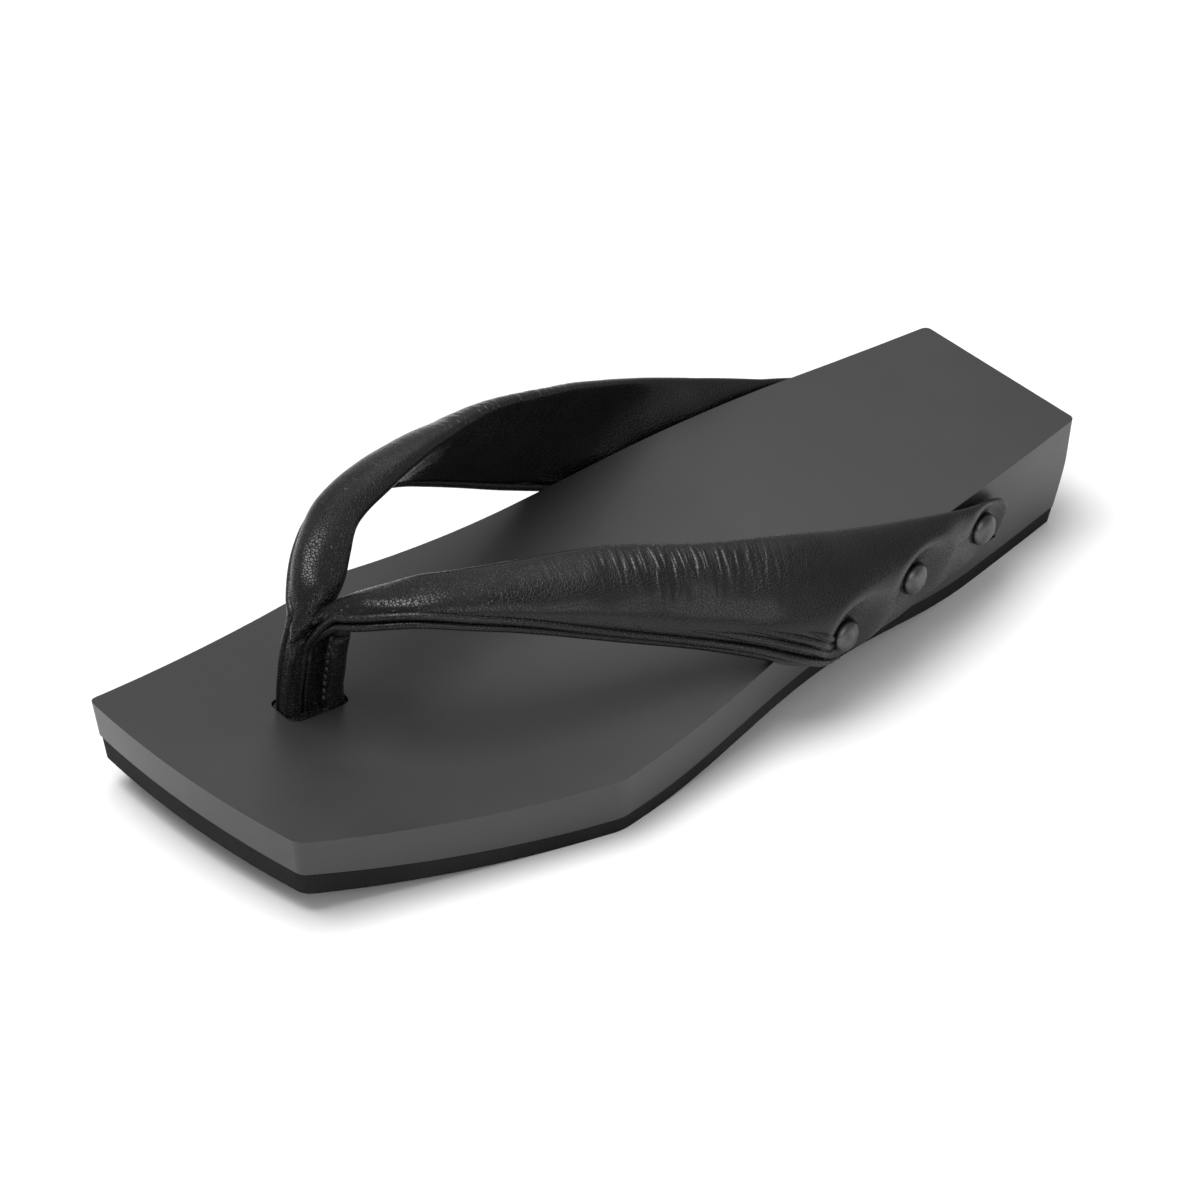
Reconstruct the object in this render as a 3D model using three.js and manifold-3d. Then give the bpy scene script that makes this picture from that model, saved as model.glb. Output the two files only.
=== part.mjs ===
// A left thong sandal of the geta kind: a painted wooden platform with a six-cornered outline,
// a rubber outsole, a pair of padded leather straps joined at the toe thong, and six dome-headed
// nails that hold the strap ends to the platform's sides.
// Millimetres. +Z is up, the toe points to -Y and the wearer's outer (lateral) side is +X.
// The origin is on the ground under the middle of the platform.
import * as THREE from 'three';
import { mergeVertices } from 'three/addons/utils/BufferGeometryUtils.js';
import Module from 'manifold-3d';

const wasm = await Module();
wasm.setup();

// ---------------------------------------------------------------- driving sizes

const TOE_Y = -127.5;
const HEEL_Y = 127.5;
const GAP = 0.3; // clearance kept between neighbouring pieces
const BLANK_WIDTH = 140; // width of the side-view solids before they are cut to the outline

// The plan of the platform's top: each corner, and the bow of the edge that follows it.
// bow is the height of the edge's arc, positive where the edge swells outwards.
const PLAN = [
  { corner: 'toe medial', x: -41, y: TOE_Y, bow: 2.8, steps: 10 },
  { corner: 'toe lateral', x: 31.6, y: -117.2, bow: 0.7, steps: 8 },
  { corner: 'ball lateral', x: 55, y: -41.5, bow: 2, steps: 12 },
  { corner: 'heel lateral', x: 28.1, y: HEEL_Y, bow: 0.4, steps: 4 },
  { corner: 'heel medial', x: -28.9, y: HEEL_Y, bow: -3, steps: 12 },
  { corner: 'ball medial', x: -55, y: -47.2, bow: 0.7, steps: 8 },
];
const WOOD_CORNER = 2; // how far from a corner its rounding starts
const RUBBER_CORNER = 3;
const CORNER_STEPS = 4;
const SIDE_TAPER = 0.08; // the sides lean in by this much for each millimetre down

// The platform's top seen from the side: the toe springs up on an arc, the ball is the lowest
// place, and a ramp climbs from it to a level heel.
const BALL = { y: -47.5, z: 16.3, toeRadius: 360 };
const RAMP = { slope: 0.19, riseLength: 50, straightLength: 20, crestLength: 60 };
const RAMP_START = BALL.y + RAMP.riseLength;
const RAMP_END = RAMP_START + RAMP.straightLength;
const CREST = RAMP_END + RAMP.crestLength;
const HEEL_TOP = BALL.z + RAMP.slope * (RAMP.riseLength / 2 + RAMP.straightLength + RAMP.crestLength / 2);

// The rubber's underside: two level stretches on the ground with an arch between them.
const ROCKER = { y: -50.5, radius: 350 };
const ARCH = { from: -34.5, to: 88, rise: 7.8 };
const RUBBER = { thick: 4.4, toeExtra: 2.3, inset: 0.2 };

// The heel's back face leans in as it goes down.
const HEEL_BACK = { lean: 6.5, power: 1.6, steps: 6 };

// The slot for the toe thong goes right through the wood.
const SLOT = { x: -14.5, y: -82.8, width: 11, length: 17.2, corner: 3 };

// Nails, three to a side: where along the side and how high their middles are.
const NAILS = [
  { name: 'front', y: 32.3, z: 18 },
  { name: 'middle', y: 58.4, z: 20.4 },
  { name: 'rear', y: 86, z: 20 },
];
const NAIL = { headRadius: 4.3, headHeight: 2.7, seat: 2.6, shankRadius: 1.2, shankLength: 12, sides: 18 };
const NAIL_WELL = 12; // how far the hole round a nail reaches outwards through the leather

// The toe thong: level sections from inside the slot up to the roll that the straps grow from.
const THONG = [
  { z: 8.8, y: -82.8, halfWidth: 4.9, halfLength: 8 },
  { z: 20, y: -82.8, halfWidth: 4.9, halfLength: 8 },
  { z: 31, y: -80.8, halfWidth: 5, halfLength: 8 },
  { z: 38, y: -79.2, halfWidth: 5.4, halfLength: 7.8 },
  { z: 43, y: -78.6, halfWidth: 5.6, halfLength: 7 },
  { z: 47, y: -78.2, halfWidth: 4.4, halfLength: 5.2 },
  { z: 49, y: -78, halfWidth: 2, halfLength: 2.4 },
];
const THONG_SHAPE = { ringPoints: 24, rounding: 0.7 };

// The straps. Each row is one section: its front edge, the crown half way across, its rear
// edge, and its thickness. The first row is inside the thong's top.
const LATERAL_STRAP = [
  { thick: 7, front: [-12, -82.5, 41.5], crown: [-13, -78.5, 44.5], rear: [-14, -73.5, 45] },
  { thick: 8, front: [-6.5, -82.5, 43.5], crown: [-7.5, -77, 46.5], rear: [-9, -71.5, 46] },
  { thick: 8.4, front: [2.5, -77.3, 47.3], crown: [-0.5, -71.7, 48.8], rear: [-4.8, -64.8, 48.8] },
  { thick: 8.6, front: [12.2, -68, 49.2], crown: [7.4, -64, 50.4], rear: [-0.2, -58.6, 52] },
  { thick: 8.8, front: [18, -57.6, 46.7], crown: [12.8, -54.6, 49.4], rear: [4, -50.6, 52.4] },
  { thick: 8.8, front: [23, -46, 43.2], crown: [17.4, -43, 47.6], rear: [7.8, -39.6, 51.8] },
  { thick: 8.5, front: [31.5, -24, 34.5], crown: [26.4, -20, 43.2], rear: [16.4, -16, 50.6] },
  { thick: 8, front: [39.5, -6, 28], crown: [35.6, 0, 38.3], rear: [26.4, 4.5, 47.4] },
  { thick: 7.5, front: [46.5, 5, 24.3], crown: [43.6, 15.5, 35], rear: [32, 23.5, 44] },
  { thick: 6.5, front: [50, 13.5, 20], crown: [48, 32, 31], rear: [37.4, 46.5, 38.8] },
  { thick: 5.5, front: [49, 21, 16], crown: [46.8, 48, 25.6], rear: [41, 75, 32.4] },
];
const MEDIAL_STRAP = [
  { thick: 8, front: [-16, -84, 42.6], crown: [-14.8, -78.8, 46.8], rear: [-12.6, -72.8, 47.8] },
  { thick: 8.8, front: [-20.6, -83.4, 44.4], crown: [-18.4, -78.2, 48.9], rear: [-15.8, -71.4, 50.2] },
  { thick: 9, front: [-28.4, -76.4, 48.8], crown: [-24.9, -72, 52.9], rear: [-20.2, -67.2, 53.4] },
  { thick: 9, front: [-36.6, -65.6, 50.9], crown: [-32, -62.5, 55.1], rear: [-25.6, -60.2, 56] },
  { thick: 9, front: [-41.6, -53.4, 49.6], crown: [-36.6, -50.5, 55.2], rear: [-28.8, -48.2, 57.2] },
  { thick: 9, front: [-44.5, -39, 46.2], crown: [-41.2, -35.4, 53.8], rear: [-33.4, -33.4, 59] },
  { thick: 9, front: [-45.5, -21, 37.2], crown: [-45.8, -14.5, 48.3], rear: [-40.2, -10.5, 58.2] },
  { thick: 8.5, front: [-45.6, -5, 28.8], crown: [-47.8, 4, 41.5], rear: [-43, 10, 53.2] },
  { thick: 8, front: [-45.8, 5, 23.8], crown: [-48.8, 18, 36.5], rear: [-45.2, 28, 47] },
  { thick: 7, front: [-46, 13.5, 19.5], crown: [-47.5, 34, 31.5], rear: [-45.6, 49, 39] },
  { thick: 5.5, front: [-44.5, 21, 16], crown: [-41.9, 50, 25.6], rear: [-38, 76, 31] },
];
// The last rows lie against the platform's side: y, z and how far the section stands off it.
const STRAP_END = [
  { thick: 4.4, off: 2.7, front: [26, 14.5], crown: [59, 19.5], rear: [93.5, 23.5] },
  { thick: 3.2, off: 2, front: [28.5, 12], crown: [60, 13], rear: [93, 14.5] },
];
const STRAP = { stepsPerRow: 3, ringPoints: 20, edgeFullness: 0.7 };

// ---------------------------------------------------------------- small helpers

const clamp01 = (t) => Math.min(1, Math.max(0, t));
const angles = (count) => Array.from({ length: count }, (_, i) => (2 * Math.PI * i) / count);

function manifoldFrom(geometry) {
  const bare = geometry.clone();
  bare.deleteAttribute('normal');
  bare.deleteAttribute('uv');
  const merged = mergeVertices(bare, 1e-5);
  const mesh = new wasm.Mesh({
    numProp: 3,
    vertProperties: merged.attributes.position.array,
    triVerts: new Uint32Array(merged.index.array),
  });
  return new wasm.Manifold(mesh);
}

function geometryFrom(solid) {
  const mesh = solid.getMesh();
  const geometry = new THREE.BufferGeometry();
  geometry.setAttribute('position', new THREE.BufferAttribute(mesh.vertProperties, 3));
  geometry.setIndex(new THREE.BufferAttribute(mesh.triVerts, 1));
  geometry.computeVertexNormals();
  return geometry;
}

// Joins rings of equal length into one closed solid, with a fan on each end.
function loft(rings) {
  const count = rings[0].length;
  const positions = rings.flat().flatMap((p) => [p.x, p.y, p.z]);
  const index = [];
  for (let r = 0; r + 1 < rings.length; r += 1) {
    for (let i = 0; i < count; i += 1) {
      const a = r * count + i;
      const b = r * count + ((i + 1) % count);
      index.push(a, b, b + count, a, b + count, a + count);
    }
  }
  addCap(positions, index, rings[0], 0, true);
  addCap(positions, index, rings.at(-1), (rings.length - 1) * count, false);
  const geometry = new THREE.BufferGeometry();
  geometry.setAttribute('position', new THREE.Float32BufferAttribute(positions, 3));
  geometry.setIndex(index);
  return geometry;
}

function addCap(positions, index, ring, first, isStart) {
  const middle = ring.reduce((sum, p) => sum.add(p), new THREE.Vector3()).divideScalar(ring.length);
  const centre = positions.length / 3;
  positions.push(middle.x, middle.y, middle.z);
  ring.forEach((_, i) => {
    const a = first + i;
    const b = first + ((i + 1) % ring.length);
    index.push(...(isStart ? [centre, b, a] : [centre, a, b]));
  });
}

// ---------------------------------------------------------------- the platform's outline

// A point of the arc between two corners, at t from 0 to 1.
function pointOnEdge(a, b, t) {
  const chord = new THREE.Vector2(b.x - a.x, b.y - a.y);
  const outward = new THREE.Vector2(chord.y, -chord.x).normalize();
  const bow = 4 * a.bow * t * (1 - t);
  return new THREE.Vector2(a.x, a.y).addScaledVector(chord, t).addScaledVector(outward, bow);
}

// The whole outline, anticlockwise from above, with its corners rounded.
function outline(cornerReach) {
  const points = [];
  PLAN.forEach((a, i) => {
    const b = PLAN[(i + 1) % PLAN.length];
    const next = PLAN[(i + 2) % PLAN.length];
    const trim = cornerReach / Math.hypot(b.x - a.x, b.y - a.y);
    const nextTrim = cornerReach / Math.hypot(next.x - b.x, next.y - b.y);
    for (let k = 0; k <= a.steps; k += 1) {
      points.push(pointOnEdge(a, b, trim + (1 - 2 * trim) * (k / a.steps)));
    }
    const before = pointOnEdge(a, b, 1 - trim);
    const after = pointOnEdge(b, next, nextTrim);
    const turn = new THREE.QuadraticBezierCurve(before, new THREE.Vector2(b.x, b.y), after);
    for (let k = 1; k < CORNER_STEPS; k += 1) points.push(turn.getPoint(k / CORNER_STEPS));
  });
  return points;
}

// Moves each point of an anticlockwise outline outwards by its own distance.
function offsetOutline(points, distances) {
  return points.map((p, i) => {
    const before = points.at(i - 1);
    const after = points[(i + 1) % points.length];
    const outward = new THREE.Vector2(after.y - before.y, before.x - after.x).normalize();
    return p.clone().addScaledVector(outward, distances[i]);
  });
}

// The outline as a tall solid whose sides lean in towards the ground.
function outlineSolid(cornerReach, grow) {
  const base = outline(cornerReach);
  const levels = [-2, HEEL_TOP + 5];
  const rings = levels.map((z) => {
    const offsets = base.map((p) => grow - SIDE_TAPER * (topHeight(p.y) - z));
    return offsetOutline(base, offsets).map((p) => new THREE.Vector3(p.x, p.y, z));
  });
  return manifoldFrom(loft(rings));
}

// ---------------------------------------------------------------- the platform's side view

function topHeight(y) {
  if (y <= BALL.y) return BALL.z + (y - BALL.y) ** 2 / (2 * BALL.toeRadius);
  if (y <= RAMP_START) return BALL.z + (RAMP.slope * (y - BALL.y) ** 2) / (2 * RAMP.riseLength);
  if (y <= RAMP_END) return BALL.z + RAMP.slope * (RAMP.riseLength / 2 + y - RAMP_START);
  if (y <= CREST) return HEEL_TOP - (RAMP.slope * (CREST - y) ** 2) / (2 * RAMP.crestLength);
  return HEEL_TOP;
}

function groundHeight(y) {
  if (y <= ROCKER.y) return (y - ROCKER.y) ** 2 / (2 * ROCKER.radius);
  if (y <= ARCH.from || y >= ARCH.to) return 0;
  const t = (y - ARCH.from) / (ARCH.to - ARCH.from);
  return ARCH.rise * Math.sin(Math.PI * t) ** 2;
}

function woodUnderside(y) {
  const towardsToe = clamp01((ROCKER.y - y) / (ROCKER.y - TOE_Y));
  return groundHeight(y) + RUBBER.thick + RUBBER.toeExtra * towardsToe;
}

function heelBack(z) {
  return HEEL_Y - HEEL_BACK.lean * clamp01(1 - z / HEEL_TOP) ** HEEL_BACK.power;
}

// Stations along the sole, closer where its outline curves.
function stations(from, to, step) {
  const count = Math.ceil((to - from) / step);
  return Array.from({ length: count + 1 }, (_, i) => from + ((to - from) * i) / count);
}

// A wide solid with the given upper and lower lines, closed by the heel's back face.
function profileSolid(upper, lower, step) {
  const before = TOE_Y - 4;
  const zTop = upper(HEEL_Y);
  const zLow = lower(HEEL_Y);
  const back = stations(zLow, zTop, (zTop - zLow) / HEEL_BACK.steps);
  const bottom = stations(before, heelBack(zLow) - 1, step).map((y) => [y, lower(y)]);
  const heel = back.map((z) => [heelBack(z), z]);
  const top = stations(before, heelBack(zTop) - 1, step).map((y) => [y, upper(y)]);
  const line = [...bottom, ...heel, ...top.reverse()];
  const shape = new THREE.Shape(line.map(([y, z]) => new THREE.Vector2(y, z)));
  const extruded = new THREE.ExtrudeGeometry(shape, { depth: BLANK_WIDTH, bevelEnabled: false });
  extruded.applyMatrix4(new THREE.Matrix4().makeBasis(
    new THREE.Vector3(0, 1, 0),
    new THREE.Vector3(0, 0, 1),
    new THREE.Vector3(1, 0, 0),
  ));
  extruded.translate(-BLANK_WIDTH / 2, 0, 0);
  return manifoldFrom(extruded);
}

// ---------------------------------------------------------------- the sides and the nails

// A place on the platform's side: side is 1 for lateral and -1 for medial.
function onSide(side, y, z, off) {
  const [a, b] = side > 0 ? [PLAN[2], PLAN[3]] : [PLAN[4], PLAN[5]];
  const t = (y - a.y) / (b.y - a.y);
  const here = pointOnEdge(a, b, t);
  const ahead = pointOnEdge(a, b, t + 0.01);
  const outward = new THREE.Vector2(ahead.y - here.y, here.x - ahead.x).normalize();
  const place = here.addScaledVector(outward, off - SIDE_TAPER * (topHeight(y) - z));
  return { point: new THREE.Vector3(place.x, place.y, z), outward: new THREE.Vector3(outward.x, outward.y, 0) };
}

// A dome-headed nail on +Y, its head's flat underside at y = 0, all round larger by grow.
function nailGeometry(grow, headHeight) {
  const profile = [new THREE.Vector2(0, -NAIL.shankLength - grow)];
  profile.push(new THREE.Vector2(NAIL.shankRadius + grow, -NAIL.shankLength + 2 * NAIL.shankRadius - grow));
  profile.push(new THREE.Vector2(NAIL.shankRadius + grow, -grow));
  profile.push(new THREE.Vector2(NAIL.headRadius + grow, -grow));
  for (let k = 0; k <= 5; k += 1) {
    const angle = (k / 6) * (Math.PI / 2);
    const radius = (NAIL.headRadius + grow) * Math.cos(angle);
    profile.push(new THREE.Vector2(radius, 0.5 + (headHeight - 0.5 + grow) * Math.sin(angle)));
  }
  profile.push(new THREE.Vector2(0, headHeight + grow));
  return new THREE.LatheGeometry(profile, NAIL.sides);
}

function placedNail(side, nail, grow, headHeight) {
  const { point, outward } = onSide(side, nail.y, nail.z, NAIL.seat);
  const geometry = nailGeometry(grow, headHeight);
  const turn = new THREE.Quaternion().setFromUnitVectors(new THREE.Vector3(0, 1, 0), outward);
  geometry.applyQuaternion(turn);
  geometry.translate(point.x, point.y, point.z);
  return manifoldFrom(geometry);
}

// ---------------------------------------------------------------- the straps

// All rows of a strap, with the two that lie on the platform's side worked out from it.
function strapRows(side, rows) {
  const ends = STRAP_END.map(({ thick, off, front, crown, rear }) => ({
    thick,
    front: onSide(side, front[0], front[1], off).point,
    crown: onSide(side, crown[0], crown[1], off).point,
    rear: onSide(side, rear[0], rear[1], off).point,
  }));
  const given = rows.map(({ thick, front, crown, rear }) => ({
    thick,
    front: new THREE.Vector3(...front),
    crown: new THREE.Vector3(...crown),
    rear: new THREE.Vector3(...rear),
  }));
  return [...given, ...ends];
}

function smoothLine(points) {
  const curve = new THREE.CatmullRomCurve3(points, false, 'centripetal');
  return (t) => curve.getPoint(clamp01(t));
}

// The three guide lines of a strap and its thickness, each read at t from 0 to 1.
function strapGuides(rows) {
  const thickness = smoothLine(rows.map((row, i) => new THREE.Vector3(i, row.thick, 0)));
  return {
    front: smoothLine(rows.map((row) => row.front)),
    crown: smoothLine(rows.map((row) => row.crown)),
    rear: smoothLine(rows.map((row) => row.rear)),
    thick: (t) => thickness(t).y,
  };
}

// A point of the strap's middle surface, at t along it and u across it.
function middleSurface(guides, t, u) {
  const place = guides.front(t).multiplyScalar((1 - u) * (1 - 2 * u));
  place.addScaledVector(guides.crown(t), 4 * u * (1 - u));
  return place.addScaledVector(guides.rear(t), u * (2 * u - 1));
}

// The section at t: a padded lens round the middle surface.
function strapSection(guides, t) {
  const step = 0.01;
  const along = guides.crown(t + step).sub(guides.crown(t - step));
  const across = guides.rear(t).sub(guides.front(t));
  const normal = across.cross(along).normalize();
  return angles(STRAP.ringPoints).map((angle) => {
    const u = 0.5 - 0.5 * Math.cos(angle);
    const fullness = Math.sign(Math.sin(angle)) * Math.abs(Math.sin(angle)) ** STRAP.edgeFullness;
    return middleSurface(guides, t, u).addScaledVector(normal, (fullness * guides.thick(t)) / 2);
  });
}

function strapSolid(side, rows) {
  const guides = strapGuides(strapRows(side, rows));
  const count = (rows.length + STRAP_END.length - 1) * STRAP.stepsPerRow;
  const rings = stations(0, 1, 1 / count).map((t) => strapSection(guides, t));
  return manifoldFrom(loft(rings));
}

// The thong as level sections with rounded corners, closed by a low dome.
function thongSolid() {
  const rounding = (v) => Math.sign(v) * Math.abs(v) ** THONG_SHAPE.rounding;
  const rings = THONG.map(({ z, y, halfWidth, halfLength }) => angles(THONG_SHAPE.ringPoints).map((angle) => {
    const across = halfWidth * rounding(Math.cos(angle));
    return new THREE.Vector3(SLOT.x + across, y + halfLength * rounding(Math.sin(angle)), z);
  }));
  return manifoldFrom(loft(rings));
}

// ---------------------------------------------------------------- the pieces

function slotSolid() {
  const [w, l, c] = [SLOT.width / 2, SLOT.length / 2, SLOT.corner];
  const shape = new THREE.Shape();
  shape.moveTo(w - c, -l).quadraticCurveTo(w, -l, w, c - l).lineTo(w, l - c);
  shape.quadraticCurveTo(w, l, w - c, l).lineTo(c - w, l).quadraticCurveTo(-w, l, -w, l - c);
  shape.lineTo(-w, c - l).quadraticCurveTo(-w, -l, c - w, -l).closePath();
  const geometry = new THREE.ExtrudeGeometry(shape, { depth: HEEL_TOP, bevelEnabled: false, curveSegments: 4 });
  geometry.translate(SLOT.x, SLOT.y, 0);
  return manifoldFrom(geometry);
}

const SIDES = [{ name: 'lateral', side: 1 }, { name: 'medial', side: -1 }];
const nailPlaces = SIDES.flatMap(({ name, side }) => NAILS.map((nail) => ({ name, side, nail })));
const nailHoles = nailPlaces.map(({ side, nail }) => placedNail(side, nail, GAP, NAIL_WELL));
const cutAll = (solid, cutters) => cutters.reduce((left, cutter) => left.subtract(cutter), solid);

function platformSolid(grow) {
  return outlineSolid(WOOD_CORNER, grow)
    .intersect(profileSolid((y) => topHeight(y) + grow, (y) => woodUnderside(y) - grow, 4));
}

function outsoleSolid() {
  return outlineSolid(RUBBER_CORNER, -RUBBER.inset)
    .intersect(profileSolid((y) => woodUnderside(y) - GAP, groundHeight, 4));
}

function strapsSolid() {
  const joined = strapSolid(1, LATERAL_STRAP).add(strapSolid(-1, MEDIAL_STRAP)).add(thongSolid());
  const withoutWood = joined.subtract(platformSolid(GAP).subtract(slotSolid()));
  return cutAll(withoutWood, nailHoles);
}

const FINISHES = {
  paint: { color: 0x17181a, roughness: 0.42, metalness: 0 },
  rubber: { color: 0x0b0b0c, roughness: 0.8, metalness: 0 },
  leather: { color: 0x151516, roughness: 0.55, metalness: 0 },
  nail: { color: 0x3a3b3d, roughness: 0.35, metalness: 0.9 },
};

const sandal = new THREE.Group();

function addPiece(name, solid, finish) {
  const mesh = new THREE.Mesh(geometryFrom(solid), new THREE.MeshStandardMaterial(FINISHES[finish]));
  mesh.name = name;
  sandal.add(mesh);
}

addPiece('platform', cutAll(platformSolid(0).subtract(slotSolid()), nailHoles), 'paint');
addPiece('outsole', outsoleSolid(), 'rubber');
addPiece('straps', strapsSolid(), 'leather');
nailPlaces.forEach(({ name, side, nail }) => {
  addPiece(`nail_${name}_${nail.name}`, placedNail(side, nail, 0, NAIL.headHeight), 'nail');
});

export default sandal;
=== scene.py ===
"""A left geta sandal: painted platform, rubber outsole, padded leather straps, piping and nails."""

import logging
import math
from dataclasses import dataclass
from enum import Enum

import bmesh
import bpy
from mathutils import Matrix, Vector, noise


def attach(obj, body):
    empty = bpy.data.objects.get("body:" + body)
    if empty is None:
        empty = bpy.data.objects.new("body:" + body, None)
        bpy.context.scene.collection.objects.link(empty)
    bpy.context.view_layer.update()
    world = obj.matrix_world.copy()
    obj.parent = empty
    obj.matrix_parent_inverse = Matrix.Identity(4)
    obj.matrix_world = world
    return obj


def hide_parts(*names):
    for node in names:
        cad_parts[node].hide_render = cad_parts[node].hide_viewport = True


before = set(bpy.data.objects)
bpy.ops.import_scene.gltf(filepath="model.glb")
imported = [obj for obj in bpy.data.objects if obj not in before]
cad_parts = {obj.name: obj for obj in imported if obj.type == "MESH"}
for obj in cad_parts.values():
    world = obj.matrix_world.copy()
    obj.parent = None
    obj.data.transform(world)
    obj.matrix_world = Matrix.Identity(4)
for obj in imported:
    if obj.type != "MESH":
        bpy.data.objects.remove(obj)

LOG = logging.getLogger("sandal")
MM = 0.001
Pair = tuple[float, float]
Triple = tuple[float, float, float]


class Side(Enum):
    """The two sides of the shoe, valued by the sign of X."""

    LATERAL = 1
    MEDIAL = -1


class Slot(Enum):
    """The material slots."""

    PAINT = "painted_wood"
    RUBBER = "rubber"
    LEATHER = "leather"
    METAL = "nail_metal"


# ---------------------------------------------------------------- node helpers


class Bench:
    """A node tree with short calls for adding nodes and joining them."""

    def __init__(self, tree: bpy.types.NodeTree) -> None:
        """Keeps the tree to work on."""
        self.tree = tree

    def add(self, kind: str, **settings: object) -> bpy.types.Node:
        """Adds a node and sets its properties.

        Args:
            kind: the node's type name without the ShaderNode prefix.
            settings: properties of the node by name.

        Returns:
            The new node.
        """
        prefix = "" if kind.startswith("NodeGroup") else "ShaderNode"
        node = self.tree.nodes.new(prefix + kind)
        for name, value in settings.items():
            setattr(node, name, value)
        return node

    def feed(self, node: bpy.types.Node, **inputs: object) -> bpy.types.Node:
        """Sets or links a node's inputs.

        Args:
            node: the node to feed.
            inputs: for each socket name, with underscores for spaces, a value or another socket.

        Returns:
            The same node.
        """
        for name, value in inputs.items():
            socket = node.inputs[name.replace("_", " ")]
            if isinstance(value, bpy.types.NodeSocket):
                self.tree.links.new(value, socket)
            else:
                socket.default_value = value
        return node

    def math(self, operation: str, a: object, b: object = 0.0) -> bpy.types.NodeSocket:
        """Returns the result of a Math node on two values or sockets."""
        node = self.add("Math", operation=operation)
        for socket, value in zip(node.inputs, (a, b)):
            if isinstance(value, bpy.types.NodeSocket):
                self.tree.links.new(value, socket)
            else:
                socket.default_value = value
        return node.outputs[0]

    def remap(self, value: bpy.types.NodeSocket, low: float, high: float, to_low: float,
              to_high: float) -> bpy.types.NodeSocket:
        """Returns value moved smoothly from the range low to high into to_low to to_high."""
        node = self.add("MapRange", interpolation_type="SMOOTHSTEP")
        self.feed(node, Value=value, From_Min=low, From_Max=high, To_Min=to_low, To_Max=to_high)
        return node.outputs["Result"]

    def noise(self, vector: bpy.types.NodeSocket, scale: float, detail: float = 3.0,
              roughness: float = 0.5) -> bpy.types.NodeSocket:
        """Returns the value of a Noise texture read at vector."""
        node = self.add("TexNoise")
        self.feed(node, Vector=vector, Scale=scale, Detail=detail, Roughness=roughness)
        return node.outputs["Fac"]

    def mix(self, factor: bpy.types.NodeSocket, a: object, b: object) -> bpy.types.NodeSocket:
        """Returns the colour between a and b by factor."""
        node = self.add("Mix", data_type="RGBA")
        self.tree.links.new(factor, node.inputs[0])
        for index, value in ((6, a), (7, b)):
            if isinstance(value, bpy.types.NodeSocket):
                self.tree.links.new(value, node.inputs[index])
            else:
                node.inputs[index].default_value = (*value, 1.0)
        return node.outputs[2]


class EffectGroup:
    """A shader node group with float inputs and outputs, built once."""

    name = "effect"
    inputs: dict[str, float] = {}
    outputs: tuple[str, ...] = ()

    def tree(self) -> bpy.types.NodeTree:
        """Returns the group's tree, making it the first time."""
        made = bpy.data.node_groups.get(self.name)
        if made:
            return made
        made = bpy.data.node_groups.new(self.name, "ShaderNodeTree")
        made.interface.new_socket("Vector", in_out="INPUT", socket_type="NodeSocketVector")
        for name, value in self.inputs.items():
            socket = made.interface.new_socket(name, in_out="INPUT", socket_type="NodeSocketFloat")
            socket.default_value = value
        for name in self.outputs:
            made.interface.new_socket(name, in_out="OUTPUT", socket_type="NodeSocketFloat")
        bench = Bench(made)
        entry, leave = bench.add("NodeGroupInput"), bench.add("NodeGroupOutput")
        self.build(bench, entry, leave)
        return made

    def build(self, bench: Bench, entry: bpy.types.Node, leave: bpy.types.Node) -> None:
        """Joins the group's nodes between its input and output nodes."""
        raise NotImplementedError

    def place(self, bench: Bench, vector: bpy.types.NodeSocket, **values: float) -> bpy.types.Node:
        """Places the group in a material with its own values and returns the node."""
        node = bench.add("Group", node_tree=self.tree())
        return bench.feed(node, Vector=vector, **values)


class PebbleGrain(EffectGroup):
    """Raised pebbles parted by creases, as on full-grain leather."""

    name = "pebble_grain"
    inputs = {"Scale": 800.0, "Crease": 0.12}
    outputs = ("Height", "Crease Mask")

    def build(self, bench: Bench, entry: bpy.types.Node, leave: bpy.types.Node) -> None:
        """Joins a bent cell pattern, its creases and a fine pore noise."""
        bend = bench.add("TexNoise")
        bench.feed(bend, Vector=entry.outputs["Vector"], Scale=380.0, Detail=2.0)
        shift = bench.add("VectorMath", operation="MULTIPLY_ADD")
        bench.tree.links.new(bend.outputs["Color"], shift.inputs[0])
        shift.inputs[1].default_value = (0.0007, 0.0007, 0.0007)
        bench.tree.links.new(entry.outputs["Vector"], shift.inputs[2])
        cells = bench.add("TexVoronoi", feature="DISTANCE_TO_EDGE")
        bench.feed(cells, Vector=shift.outputs[0], Scale=entry.outputs["Scale"], Randomness=1.0)
        flat = bench.math("DIVIDE", cells.outputs["Distance"], entry.outputs["Crease"])
        pebble = bench.remap(flat, 0.0, 1.0, 0.0, 1.0)
        pores = bench.noise(shift.outputs[0], 2600.0, 2.0)
        height = bench.math("MULTIPLY_ADD", pores, 0.25)
        bench.tree.links.new(pebble, height.node.inputs[2])
        crease = bench.math("SUBTRACT", 1.0, pebble)
        bench.tree.links.new(height, leave.inputs["Height"])
        bench.tree.links.new(crease, leave.inputs["Crease Mask"])


class Handling(EffectGroup):
    """Broad soft mottling and fine specks, from handling and dust."""

    name = "handling"
    inputs = {"Broad": 22.0, "Fine": 1500.0}
    outputs = ("Mottle", "Speck")

    def build(self, bench: Bench, entry: bpy.types.Node, leave: bpy.types.Node) -> None:
        """Joins one broad noise and one fine noise."""
        for name, scale, low, high in (("Mottle", "Broad", 0.35, 0.65), ("Speck", "Fine", 0.5, 0.75)):
            node = bench.add("TexNoise")
            bench.feed(node, Vector=entry.outputs["Vector"], Scale=entry.outputs[scale], Detail=4.0)
            mask = bench.remap(node.outputs["Fac"], low, high, 0.0, 1.0)
            bench.tree.links.new(mask, leave.inputs[name])


# ---------------------------------------------------------------- finishes


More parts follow.
